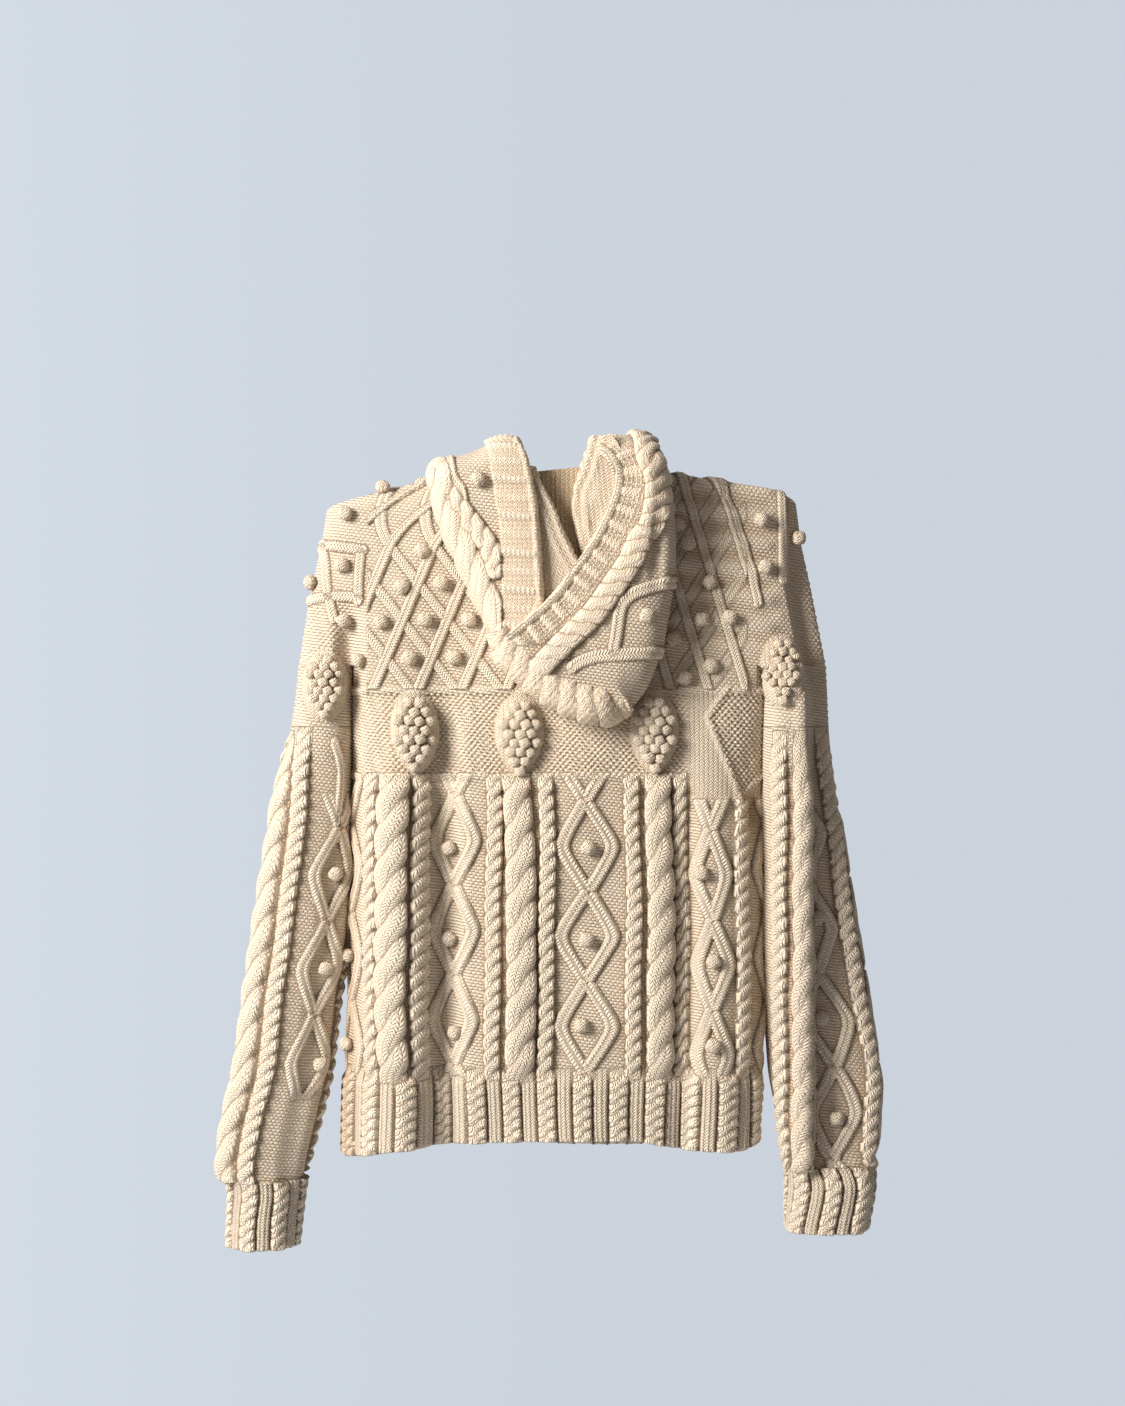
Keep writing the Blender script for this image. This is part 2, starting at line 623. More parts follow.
def curl_hem(points, stitch, n):
    """Turns the last row round the fabric's edge and a little way up inside it."""
    depth, rows = 6.5, 9
    edge = points[-1]
    inward = np.stack([calm(c, 12) for c in -n[-1].T], axis=1)
    inward /= np.maximum(np.linalg.norm(inward, axis=1, keepdims=True), 1e-9)
    extra = []
    for i in range(1, rows + 1):
        t = i / rows
        angle = math.pi * min(1, t * 1.6)
        dip = -depth / 2 * math.sin(angle) + max(0, t - 0.62) * 34
        extra.append(edge + inward * (depth / 2 * (1 - math.cos(angle))) + np.array([0.0, 0.0, dip]))
    tail = np.repeat(stitch[-1:], rows, axis=0)
    return np.concatenate([points, np.array(extra)]), np.concatenate([stitch, tail])


SURFACES = {}


def keep(obj, nodes):
    """Files a piece that stands for some CAD nodes."""
    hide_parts(*nodes)
    return obj


def remember(key, points, n):
    """Keeps a finished surface, so that bobbles can be set on it."""
    SURFACES[key] = (points.reshape(-1, 3), n.reshape(-1, 3))


def make_body(material):
    for side in ("back", "front"):
        step = FINE if side == "back" else COARSE
        points, p = body_points(side, step)
        k = body_relief(p, points[..., 2], side == "front")
        shaped, n = finish_grid(points, k, -1 if side == "back" else 1)
        stitch = stitch_of(k)
        x, z = points[..., 0], points[..., 2]
        deep = smooth(176, 189, np.abs(x)) * smooth(-240, -300, z) + 1.3 * bell(x, 174, 14) * bell(z, -336, 25)
        stitch[..., 3] *= 1 - 0.9 * np.clip(deep, 0, 1)
        remember(side, shaped, n)
        z = points[:, points.shape[1] // 2, 2]
        cut_a = int(np.argmin(np.abs(z - MOSS_BOTTOM)))
        cut_b = int(np.argmin(np.abs(z - RIB_TOP)))
        low, low_stitch = curl_hem(shaped[cut_b:], stitch[cut_b:], n[cut_b:])
        for part, a, b in (
            ("_moss_band", shaped[: cut_a + 1], stitch[: cut_a + 1]),
            ("_body", shaped[cut_a : cut_b + 1], stitch[cut_a : cut_b + 1]),
            ("_hem_rib", low, low_stitch),
        ):
            obj = grid_object("knit_" + side + part, a, b, material, side == "back")
            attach(keep(obj, [side + part]), "root")


def tube_y(x, left, right, depth, power):
    """How far a flattened tube stands out at x."""
    across = np.clip((2 * x - left - right) / (right - left), -1, 1)
    return depth * np.clip(1 - np.abs(across) ** power, 0, 1) ** (1 / power)


def top_y(x, z, facing):
    """y of the yoke and cap surface at x and z."""
    return facing * tube_y(x, YOKE_LEFT(z), YOKE_RIGHT(z), YOKE_DEPTH(z), 3.2)


def make_yoke(material):
    for side, facing, drop, step in (("back", -1, 8, FINE), ("front", 1, 45, COARSE)):
        count = int(360 / step)
        rows = int((206 if side == "back" else 182) / step)
        s = np.linspace(-1, 1, count)[None, :]
        v = np.linspace(0, 1, rows)[:, None]
        bottom = MOSS_TOP - 2 if side == "back" else ARMHOLE
        neck = NECK_Z - drop * (1 - s * s)
        z = neck + (bottom - neck) * v
        x = (raglan_x(z) + 1.0) * s
        y = top_y(x, np.maximum(z, ARMHOLE), facing)
        if side == "back":
            y = y + (body_y(x, z) - y) * smooth(ARMHOLE + 12, MOSS_TOP, z)
        folds = (back_folds if side == "back" else front_folds)(x, z)
        y = y + facing * folds * np.clip(np.abs(y) / 30, 0, 1) ** 1.2
        points = np.stack([x, y, z], axis=2)
        k = top_relief(x, z)
        shaped, n = finish_grid(points, k, facing)
        remember(side + "_yoke", shaped, n)
        obj = grid_object("knit_" + side + "_yoke", shaped, stitch_of(k), material, side == "back")
        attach(keep(obj, [side + "_yoke"]), "root")


def body_y(x, z):
    """y of the back of the body at x and z, without its folds."""
    z = np.minimum(z, ARMHOLE)
    return -tube_y(x, BODY_LEFT(z), BODY_RIGHT(z), BODY_DEPTH(z), 3.5 + 2.0 * smooth(-300, -203, z))


def sleeve_folds(x, z, side, centre):
    """The folds of a sleeve's back face: the right sleeve is doubled, with its inner strip in front."""
    d = x - centre
    if side < 0:
        ridge = 4 * bell(d, -8, 22) - 6 * bell(d, 27, 17) * smooth(-300, -420, z)
        return ridge * smooth(-240, -330, z)
    front = 1 - smooth(0, 12, x - STRIP_EDGE(z))
    edge = bell(x, STRIP_EDGE(z) - 4, 9)
    return (9 * front + 2 * edge - 12 * (1 - front)) * smooth(-682, -645, z)


def make_sleeve(side, material):
    """Cap, sleeve and cuff in one piece of knitting, seamed under the arm."""
    step = FINE + 0.1
    outer_turn = 0.0 if side < 0 else 2.0
    z = np.concatenate(
        [np.arange(NECK_Z, ARMHOLE, -step * 0.95), np.arange(ARMHOLE, CUFF_BOTTOM[side], -step)]
    )
    count = int(228 / step)
    s = np.linspace(-1, 1, 401)
    rows = []
    for zj in z:
        if zj > ARMHOLE:
            edge = side * (raglan_x(zj) - 1.0)
            left, right = float(YOKE_LEFT(zj)), float(YOKE_RIGHT(zj))
            across = np.clip((2 * edge - left - right) / (right - left), -1, 1)
            half = abs(1 + math.asin(across) * 2 / math.pi - outer_turn)
            turn = outer_turn + half * s * -side
            x, y = ring(left, right, float(YOKE_DEPTH(zj)), 3.2, turn)
        else:
            a, b = float(SLEEVE_OUTER[side](zj)), float(SLEEVE_INNER[side](zj))
            left, right = min(a, b), max(a, b)
            turn = outer_turn + 2 * s * -side
            x, y = ring(left, right, float(SLEEVE_DEPTH(zj)), 2.6, turn)
            share = float(smooth(ARMHOLE, ARMHOLE - 60, zj))
            y = np.where(y > 0, y * share + top_y(x, ARMHOLE, 1) * (1 - share), y)
        rows.append(np.stack([x, y, np.full_like(x, zj)], axis=1))
    dense = np.array(rows)
    x = dense[..., 0]
    cuff_in = smooth(CUFF_TOP[side] + 5, CUFF_TOP[side] - 5, z)
    centre = np.array([(float(SLEEVE_OUTER[side](q)) + float(SLEEVE_INNER[side](q))) / 2 for q in z])
    back = dense[..., 1] < 0
    weight = np.clip(-dense[..., 1] / 30, 0, 1) ** 1.2
    share = smooth(ARMHOLE + 4, ARMHOLE - 34, z)[:, None]
    zz = z[:, None] + 0 * x
    low = sleeve_folds(x, zz, side, centre[:, None])
    high = back_folds(x, zz)
    dense[..., 1] -= np.where(back, (low * share + high * (1 - share)) * weight, 0)
    dense[..., 1] -= (1.5 * np.sin(x / 21 + zz / 63) * np.sin(zz / 41)) * weight * share
    points, arc = even_columns(dense, count)
    arc = arc - arc[:, -1:] / 2
    zz = points[..., 2]
    arc = oriented(points, arc)
    middle = centre if side < 0 else STRIP_EDGE(z) + 1.0
    across = arc - calm(at_x(points, arc, middle))[:, None]
    p = across if side < 0 else arc
    low = sleeve_relief(p, zz, side, across, (across < 3) & (points[..., 1] < 0))
    high = top_relief(points[..., 0], zz, points[..., 1] < 0)
    mix = smooth(ARMHOLE - 66, ARMHOLE - 44, zz)
    k = Knit(p, zz)
    k.h = low.h * (1 - mix) + high.h * mix
    for part in ("column", "row", "kind"):
        setattr(k, part, np.where(mix > 0.5, getattr(high, part), getattr(low, part)))
    n = normals(points)
    outward = points[..., :2] - np.stack([centre[:, None] + 0 * zz, 0 * zz], axis=2)
    turned = np.mean(np.sum(n[len(z) // 2 :, :, :2] * outward[len(z) // 2 :], axis=2)) < 0
    n = -n if turned else n
    k.swell(-2.0 * cuff_in[:, None])
    shaped = points + n * k.h[..., None]
    prefix = "left" if side < 0 else "right"
    remember(prefix + "_sleeve", shaped, n)
    low_points, low_stitch = curl_hem(shaped, stitch_of(k), n)
    obj = grid_object("knit_" + prefix + "_sleeve", low_points, low_stitch, material, turned)
    keep(obj, [prefix + "_raglan_cap", prefix + "_sleeve", prefix + "_cuff"])
    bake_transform(obj)


def oriented(points, arc):
    """The way round a sleeve, turned so that it grows with x on the back face."""
    j = points.shape[0] // 2
    back = points[j, :, 1] < -10
    grows = np.polyfit(points[j, back, 0], arc[j, back], 1)[0] > 0
    return arc if grows else -arc


def at_x(points, arc, x):
    """The way round to the point of each row's back face that lies at x."""
    gap = np.where(points[..., 1] < 0, np.abs(points[..., 0] - x[:, None]), 1e9)
    return np.take_along_axis(arc, np.argmin(gap, axis=1)[:, None], axis=1)[:, 0]


# ---- bobbles


PROUD = 0.66  # how far the middle of a bobble stands out, over its radius


def ball(radius, seed):
    """A bobble: a ball of a few gathered stitches, flattened towards the fabric."""
    rings, around = 9, 14
    theta = np.linspace(0.06, math.pi - 0.06, rings)[:, None]
    phi = np.linspace(0, 2 * math.pi, around, endpoint=False)[None, :]
    lumps = 1 + 0.07 * np.cos(4 * phi + seed) * np.sin(theta) + 0.04 * np.cos(3 * theta + 2 * seed)
    r = radius * lumps
    x = r * np.sin(theta) * np.cos(phi) * 1.04
    y = r * np.sin(theta) * np.sin(phi) * 0.98
    z = r * np.cos(theta) * 0.86 + 0 * phi
    return np.stack([x, y, z], axis=2)


def bobbles(name, body, spots, material):
    """One object of many bobbles, on a body or with its body still to be set. A spot is (surface, x, z, radius)."""
    all_points, all_stitch, faces = [], [], []
    offset = 0
    for i, (key, x, z, radius) in enumerate(spots):
        points, n = SURFACES[key]
        gap = (points[:, 0] - x) ** 2 + (points[:, 2] - z) ** 2
        if key in ("left_sleeve", "right_sleeve"):
            gap = gap + np.where(points[:, 1] > 0, 1e6, 0)
        j = int(np.argmin(gap))
        at, up = points[j], n[j]
        side = np.cross(up, [0, 0, 1.0])
        side /= max(np.linalg.norm(side), 1e-6)
        fore = np.cross(side, up)
        local = ball(radius, i * 1.7)
        rows, around = local.shape[:2]
        world = at + up * (radius * PROUD) + local[..., 0:1] * side + local[..., 1:2] * fore + local[..., 2:3] * up
        index = offset + np.arange(rows * around).reshape(rows, around)
        index = np.hstack([index, index[:, :1]])
        a, b, c, d = index[:-1, :-1], index[:-1, 1:], index[1:, 1:], index[1:, :-1]
        faces += np.stack([a.ravel(), d.ravel(), c.ravel(), b.ravel()], axis=1).tolist()
        faces.append(index[0, :-1].tolist())
        faces.append(index[-1, :-1][::-1].tolist())
        column, row = local[..., 0] / COLUMN + 0.5, local[..., 1] / ROW
        all_points.append(world.reshape(-1, 3))
        top = np.clip(0.5 + 0.5 * np.cos(np.linspace(0, math.pi, rows)), 0.12, 0.85)[:, None] + 0 * column
        all_stitch.append(np.stack([column, row, np.ones((rows, around)), top], axis=2).reshape(-1, 4))
        offset += rows * around
    mesh = bpy.data.meshes.new(name)
    mesh.from_pydata((np.concatenate(all_points) * MM).tolist(), [], faces)
    mesh.update()
    mesh.polygons.foreach_set("use_smooth", np.ones(len(mesh.polygons), bool))
    add_attributes(mesh, np.concatenate(all_stitch))
    obj = linked(name, mesh, material)
    if body:
        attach(obj, body)
    return obj


def cluster_spots(key, x, z, scale=1.0):
    """A bunch of grapes: rows of small bobbles, widest near the top."""
    spots = []
    for r, many in enumerate((2, 3, 4, 3, 4, 3, 2, 1)):
        for c in range(many):
            jitter = RNG.uniform(-0.7, 0.7, 2)
            px = x + ((c - (many - 1) / 2) * 9.4 + jitter[0]) * scale
            pz = z + (28 - r * 8.3 + jitter[1]) * scale
            spots.append((key, px, pz, (5.3 + RNG.uniform(-0.4, 0.4)) * scale))
    return spots


# ---- hood

HOOD_LEFT = profile(
    [
        (-20, -113), (-67, -106), (-90, -97), (-120, -83), (-147, -70), (-168, -58), (-182, -50),
        (-196, -43), (-212, -32), (-227, -21), (-239, -6), (-248, 12),
    ],
    3.0,
)
HOOD_RIGHT = profile(
    [(4, 90), (-22, 98), (-67, 106), (-111, 107), (-138, 104), (-182, 97), (-209, 88), (-230, 78), (-248, 62)], 3.0
)
LEFT_BAND_EDGE = profile([(4, -64), (-10, -61), (-40, -57), (-76, -51), (-111, -49), (-182, -48)], 3.0)
OPENING_LEFT = profile([(4, -35), (-22, -27), (-58, -20), (-93, -17), (-148, -14), (-182, -36)], 3.0)
OPENING_RIGHT = [
    (30, 40), (35, 4), (47, -15), (54, -33), (51, -54), (37, -86), (24, -106), (15, -118), (3, -136),
    (-12, -151), (-30, -167), (-46, -180),
]
CROWN_EDGE = [(-46, -180), (-36, -189), (-24, -197), (-4, -212), (16, -224), (38, -233), (60, -238)]
FLAP_LEFT = profile([(z, x) for x, z in OPENING_RIGHT[1:]] + [(z, x) for x, z in CROWN_EDGE[1:]] + [(-247, 66)], 2.0)


def surface(rows, step):
    """An even grid over a smooth surface through rows of control points, and each point's arc length down it."""
    rows = np.array(rows, float)
    last = rows.shape[0] - 1
    fine = catmull(rows, np.linspace(0, last, 30 * last + 1))
    middle = fine[:, rows.shape[1] // 2]
    run = np.concatenate([[0], np.cumsum(np.linalg.norm(np.diff(middle, axis=0), axis=1))])
    count = int(run[-1] / step) + 1
    t = np.interp(np.linspace(0, run[-1], count), run, np.linspace(0, last, len(run)))
    by_row = catmull(rows, t)
    across = catmull(by_row.transpose(1, 0, 2), np.linspace(0, rows.shape[1] - 1, 160)).transpose(1, 0, 2)
    widest = np.linalg.norm(np.diff(across, axis=1), axis=2).sum(axis=1).max()
    points, _ = even_columns(across, int(widest / step) + 1)
    down = np.linalg.norm(np.diff(points, axis=0), axis=2)
    return points, np.concatenate([np.zeros((1, points.shape[1])), np.cumsum(down, axis=0)])


def unrolled(points, down, level):
    """A height for each point: z below level on the back, and above it the height the cloth has laid flat."""
    z = points[..., 2].copy()
    for c in range(z.shape[1]):
        rows = np.nonzero((z[:, c] < level) & (points[:, c, 1] < -40))[0]
        j = rows[0] if len(rows) else len(z) - 1
        z[:j, c] = z[j, c] + down[j, c] - down[:j, c]
    return z


def patch(name, rows, step, relief, material, nodes=()):
    """One piece of the hood: a smooth surface with relief over x and its unrolled height."""
    points, down = surface(rows, step)
    k = relief(points[..., 0], unrolled(points, down, -34.0))
    shaped, n = finish_grid(points, k, -1)
    remember(name, shaped, n)
    middle = len(points) // 2, points.shape[1] // 2
    turned = float(np.dot(normals(points)[middle], n[middle])) < 0
    return keep(grid_object(name, shaped, stitch_of(k), material, turned), list(nodes))


LEFT_STAND = [
    [(-76, 30, -30), (-74, 31, -33), (-66, 33, -39), (-53, 35, -50), (-40, 37, -57), (-28, 38.5, -62),
     (-12, 39.5, -67), (-5, 40, -67), (-5, 36, -67)],
    [(-88, 12, -28), (-86, 14, -27), (-78, 20, -26), (-66, 24, -28), (-52, 27, -32), (-38, 29, -36),
     (-16, 31, -42), (-8, 31, -43), (-8, 27, -44)],
    [(-99, -6, -28), (-97, -5, -24), (-90, -3, -20), (-78, 0, -16), (-66, 2, -12), (-58, 4, -9),
     (-46, 6, -9), (-36, 5, -14), (-40, 1, -19)],
    [(-107, -22, -27), (-105, -22, -23), (-96, -22, -18), (-82, -22, -13), (-70, -22, -8), (-60, -22, -3),
     (-48, -22, -1), (-37, -22, -5), (-41, -20, -11)],
    [(-110, -44, -28), (-109, -48, -24), (-100, -52, -19), (-85, -53, -14), (-70, -53, -9), (-60, -53, -3),
     (-46, -53, 0), (-34, -52, -3), (-39, -47, -9)],
    [(-112, -44, -37), (-112, -56, -35), (-104, -68, -31), (-91, -74, -27), (-74, -76, -24), (-60, -77, -19),
     (-44, -77, -17), (-30, -75, -18), (-35, -68, -23)],
]
RIGHT_STAND = [
    [(5, 36, -67), (5, 40, -67), (12, 39.5, -67), (28, 38.5, -62), (40, 37, -57), (53, 35, -50),
     (66, 33, -39), (74, 31, -33), (76, 30, -30)],
    [(10, 26, -42), (9, 31, -40), (18, 31, -38), (40, 29, -32), (54, 27, -28), (68, 24, -24),
     (80, 20, -22), (88, 14, -24), (90, 12, -28)],
    [(41, 0, -14), (38, 4, -12), (42, 6, -8), (52, 4, -5), (62, 2, -4), (76, 0, -6), (88, -3, -11),
     (97, -6, -18), (99, -8, -25)],
    [(41, -19, -8), (37, -22, -4), (41, -24, 0), (52, -24, 2), (62, -24, 2), (76, -23, -1), (90, -22, -7),
     (98, -22, -16), (100, -22, -25)],
    [(40, -46, -6), (36, -52, -2), (40, -55, 1), (52, -56, 3), (64, -56, 3), (78, -55, 0), (90, -52, -6),
     (97, -48, -15), (98, -42, -26)],
    [(47, -68, -17), (41, -77, -15), (45, -80, -14), (62, -80, -13), (72, -80, -13), (84, -78, -15),
     (94, -73, -19), (99, -60, -25), (100, -44, -31)],
]


def left_rows():
    """Rows of points from left to right down the hood's left side: stand, flap and band."""
    rows = list(LEFT_STAND)
    for z in (-48, -72, -96, -120, -142, -162, -178):
        left, band, right = float(HOOD_LEFT(z)), float(LEFT_BAND_EDGE(z)), float(OPENING_LEFT(z))
        wide = max(band - left, 3)
        rows.append(
            [
                (left, -42, z), (left + 0.8, -55, z), (left + min(7, 0.3 * wide), -69, z),
                (left + 0.5 * wide, -75, z), (left + 0.8 * wide, -77, z), (band, -78, z),
                (band + 0.6 * (right - band), -79, z), (right, -77, z), (right - 4, -67, z),
            ]
        )
    return rows


def right_rows():
    """Rows of points from left to right down the hood's right side, which ends under the crown fold."""
    rows = list(RIGHT_STAND)
    for z in (-36, -56, -80, -105, -128, -148, -166, -182, -198, -213, -226, -236, -244):
        left, right = float(FLAP_LEFT(z)), float(HOOD_RIGHT(z))
        wide = max(right - left, 2)
        low = float(smooth(-205, -246, z))
        deep = -86 + 14 * low
        rows.append(
            [
                (left + min(5, 0.2 * wide), -74 + 6 * low, z), (left, -82 + 9 * low, z),
                (left + min(5, 0.12 * wide), deep + 1, z), (left + 0.3 * wide, deep + 1, z),
                (left + 0.55 * wide, deep, z), (right - min(26, 0.35 * wide), deep + 2, z),
                (right - min(8, 0.16 * wide), deep + 10, z), (right - min(0.8, 0.05 * wide), -58, z), (right, -43, z),
            ]
        )
    return rows


def left_relief(x, z):
    q = x + 0.6 * np.sin(z / 19)
    k = Knit(q, z)
    band = x - LEFT_BAND_EDGE(z)
    on_flap = band < 0
    d, s = along(curve([(-100, 60), (-112, 10), (-113, -24), (-98, -47), (-78, -74), (-60, -98), (-55, -118)]), x, z)
    k.rope(d, s, 19, 16, 6.2, 2, on_flap)
    edge = [(-108, -20), (-100, -60), (-91, -82), (-81, -103), (-71, -126), (-61, -148), (-52, -170), (-46, -186)]
    d, s = along(curve(edge), x, z)
    k.rope(d, s, 26, 30, 6.6, 4, on_flap, swing=0.17)
    d, s = along(curve([(-98, 20), (-93, -30), (-84, -47), (-82, -62)]), x, z)
    k.strand(d, s, 8, 3.4, where=on_flap)
    on_band = band >= 0
    to_edge = OPENING_LEFT(z) - x
    inner = smooth(0, 7, to_edge)
    welt = soft_welts(z + 0.12 * band + 3.4, 16.4)
    h = 2.2 + 2.6 * welt * inner + 0.5 * welt * np.cos(2 * math.pi * x / COLUMN)
    k.lay(on_band, h + 0.4 * (1 - welt) * np.cos(2 * math.pi * z / 4.1), x / COLUMN, z / ROW, SOFT)
    k.soften()
    k.swell(1.8 * bell(to_edge, 2.0, 3.5))
    return k


def right_relief(x, z):
    q = x + 0.6 * np.sin(z / 23)
    k = Knit(q, z)
    d, s = along(curve(OPENING_RIGHT + [(-60, -192)], 80), x, z)
    d = np.abs(d)
    band = (d < 25) & (z > -186)
    welt = soft_welts(s - 6, 14.5) * smooth(4, 7, d) * smooth(25, 17, d)
    h = 2.4 * welt + 0.4 * welt * np.cos(2 * math.pi * s / COLUMN) + 0.3 * (1 - welt) * np.cos(2 * math.pi * d / 4.1)
    k.lay(band, h, s / COLUMN, d / ROW, SOFT)
    path = [
        (70, 60), (78, 10), (80, -14), (88, -36), (88, -58), (83, -80), (73, -93), (65, -111), (51, -132),
        (33, -157), (12, -178), (-4, -194), (-16, -206),
    ]
    d2, s2 = along(curve(path, 80), x, z)
    k.rope(d2, s2, 22, 15.0, 7.6, 3, dive=0.16)
    k.soften()
    for points in (
        [(50, -192), (53, -176), (56, -156), (60, -147), (70, -139), (95, -131), (106, -129)],
        [(14, -205), (24, -199), (40, -195), (60, -194), (92, -192)],
    ):
        d3, s3 = along(curve(points, 24), x, z)
        k.strand(d3, s3, 12, 2.8, where=np.abs(d2) > 9)
    k.swell(2.6 * bell(d, 1.8, 4.2) * (z > -184))
    k.swell(2.5 * bell(x, 99, 10) * bell(z, -95, 60))
    k.swell(-3.0 * bell(x, 87, 8) * bell(z, -100, 50))
    return k


CROWN_PATH = [
    (-51, -172), (-45, -184), (-38, -193), (-24, -206), (-7, -220), (14, -232), (34, -239), (50, -240), (64, -236),
]


def crown_rows():
    """Sections across the roped fold at the hood's lower end, along its path."""
    path = np.array(curve(CROWN_PATH, 18))
    way = np.gradient(path, axis=0)
    way /= np.linalg.norm(way, axis=1, keepdims=True)
    rows = []
    for i, ((x, z), (dx, dz)) in enumerate(zip(path, way)):
        t = i / (len(path) - 1)
        half = 15.5 * min(1, 0.45 + 2.2 * t) * min(1, 0.04 + 5.0 * (1 - t)) ** 0.5
        drop = 14 * float(smooth(0.72, 1, t))
        section = zip((-1.0, -0.98, -0.84, -0.5, -0.1, 0.35, 0.8, 1.1), (-43, -56, -69, -77, -80, -80, -75, -66))
        rows.append([(x - dz * d * half, y + drop, z + dx * d * half) for d, y in section])
    return rows


def crown_relief(x, z):
    k = Knit(x, z)
    d, s = along(curve(CROWN_PATH, 80), x, z)
    k.rope(d, s, 32, 17.0, 6.6, 4, swing=0.18, dive=0.15)
    k.soften()
    k.swell(0.35 * np.cos(2 * math.pi * x / 7.3) * np.cos(2 * math.pi * z / 6.9))
    return k


def lining_relief(lean, edge=None):
    """Plain knit whose columns run up and lean by so many mm over each mm of height."""

    def relief(x, z):
        q = x - lean * z
        k = Knit(q, z)
        k.kind = np.ones_like(x)
        k.swell(0.5 * np.cos(2 * math.pi * q / COLUMN) + 0.8 * np.sin(x / 11 + z / 23))
        if edge is not None:
            d, s = along(curve(edge, 40), x, z)
            k.swell(2.2 * bell(np.abs(d), 2.5, 4.0) + 1.6 * bell(np.abs(d), 11.0, 4.5))
        return k

    return relief


def make_hood(material, inner):
    left = patch("hood_left_side", left_rows(), FINE, left_relief, material,
                 ("hood_left_flap", "hood_left_band", "hood_left_stand"))
    right = patch("hood_right_side", right_rows(), FINE, right_relief, material,
                  ("hood_right_flap", "hood_right_band", "hood_right_stand"))
    crown = patch("hood_crown_fold", crown_rows(), FINE, crown_relief, material, ("hood_crown",))
    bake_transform(left)
    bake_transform(right)
    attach(crown, "hood_body")
    nape = []
    for z in (-27, -34, -60, -100, -140, -185):
        lean = 4.0 * (z > -30) / 40
        nape.append([(x, -50 - 4 * math.cos(x / 30), z + lean * x) for x in range(-56, 65, 20)])
    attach(patch("hood_nape", nape, 1.5, lining_relief(0.0), inner, ("hood_inner",)), "hood_body")
    slit = [(-21, -20), (-20, -31), (-14, -41), (-2, -63), (6, -85), (15, -103), (20, -112), (34, -150)]
    slit_x = profile([(z, x) for x, z in slit], 2.0)
    layer = []
    for z in (-26, -40, -60, -80, -105, -130, -155):
        e = float(slit_x(z))
        section = (-50, -64), (-36, -68), (e - 14, -71), (e - 4, -72), (e, -68), (e - 3, -60)
        layer.append([(x, y, z) for x, y in section])
    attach(patch("hood_left_layer", layer, 1.3, lining_relief(0.28, slit), material), "hood_body")
    turn = [(31, 4), (24, -25), (15, -45), (14, -67), (19, -86), (22, -101), (30, -120)]
    turn_x = profile([(z, x) for x, z in turn], 2.0)
    lining = []
    for z in (2, -16, -34, -55, -75, -95, -115):
        e, far = float(turn_x(z)), float(FLAP_LEFT(z)) + 12
        wide = far - e
        section = (e + 4, -51), (e, -57), (e + 3, -62), (e + 0.45 * wide, -66), (e + 0.75 * wide, -72), (far, -78)
        lining.append([(x, y, z) for x, y in section])

    def bulges(x, z):
        k = lining_relief(-0.1, turn)(x, z)
        for cx, cz, w, t in ((37, -28, 8, 16), (28, -57, 7, 14), (38, -52, 7, 12), (26, -82, 6, 12)):
            k.swell(4.0 * np.exp(-(((x - cx) / w) ** 2) - ((z - cz) / t) ** 2))
        return k

    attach(patch("hood_right_layer", lining, 1.3, bulges, material), "hood_body")


# ---- material


class Signal:
    """A number that flows through a node tree. Arithmetic on it adds Math nodes."""

    def __init__(self, tree, socket):
        self.tree, self.socket = tree, socket

    def into(self, socket):
        self.tree.links.new(self.socket, socket)

    def maths(self, operation, *others):
        node = self.tree.nodes.new("ShaderNodeMath")
        node.operation = operation
        for slot, value in zip(node.inputs, (self, *others)):
            if isinstance(value, Signal):
                value.into(slot)
            else:
                slot.default_value = value
        return Signal(self.tree, node.outputs[0])

    def __add__(self, other):
        return self.maths("ADD", other)

    def __mul__(self, other):
        return self.maths("MULTIPLY", other)

    def rest(self):
        """One minus this."""
        return (self * -1.0) + 1.0

    def wave(self):
        """A row of arches, one for each whole number."""
        return (self * math.pi).maths("SINE").maths("ABSOLUTE")

    def ramp(self, lo, hi, gain=1.0, steps="LINEAR"):
        """0 at lo and gain at hi, and held beyond them."""
        node = self.tree.nodes.new("ShaderNodeMapRange")
        node.interpolation_type = steps
        for key, value in (("From Min", lo), ("From Max", hi), ("To Max", gain)):
            node.inputs[key].default_value = value
        self.into(node.inputs["Value"])
        return Signal(self.tree, node.outputs["Result"])

    def blend(self, low, high):
        """The socket of a colour that goes from low at 0 to high at 1."""
        node = self.tree.nodes.new("ShaderNodeMix")
        node.data_type = "RGBA"
        node.inputs[6].default_value, node.inputs[7].default_value = (*low, 1), (*high, 1)
        self.into(node.inputs["Factor"])
        return node.outputs[2]


def axes(tree, socket):
    """The three parts of a vector."""
    parts = tree.nodes.new("ShaderNodeSeparateXYZ")
    tree.links.new(socket, parts.inputs[0])
    return [Signal(tree, part) for part in parts.outputs]


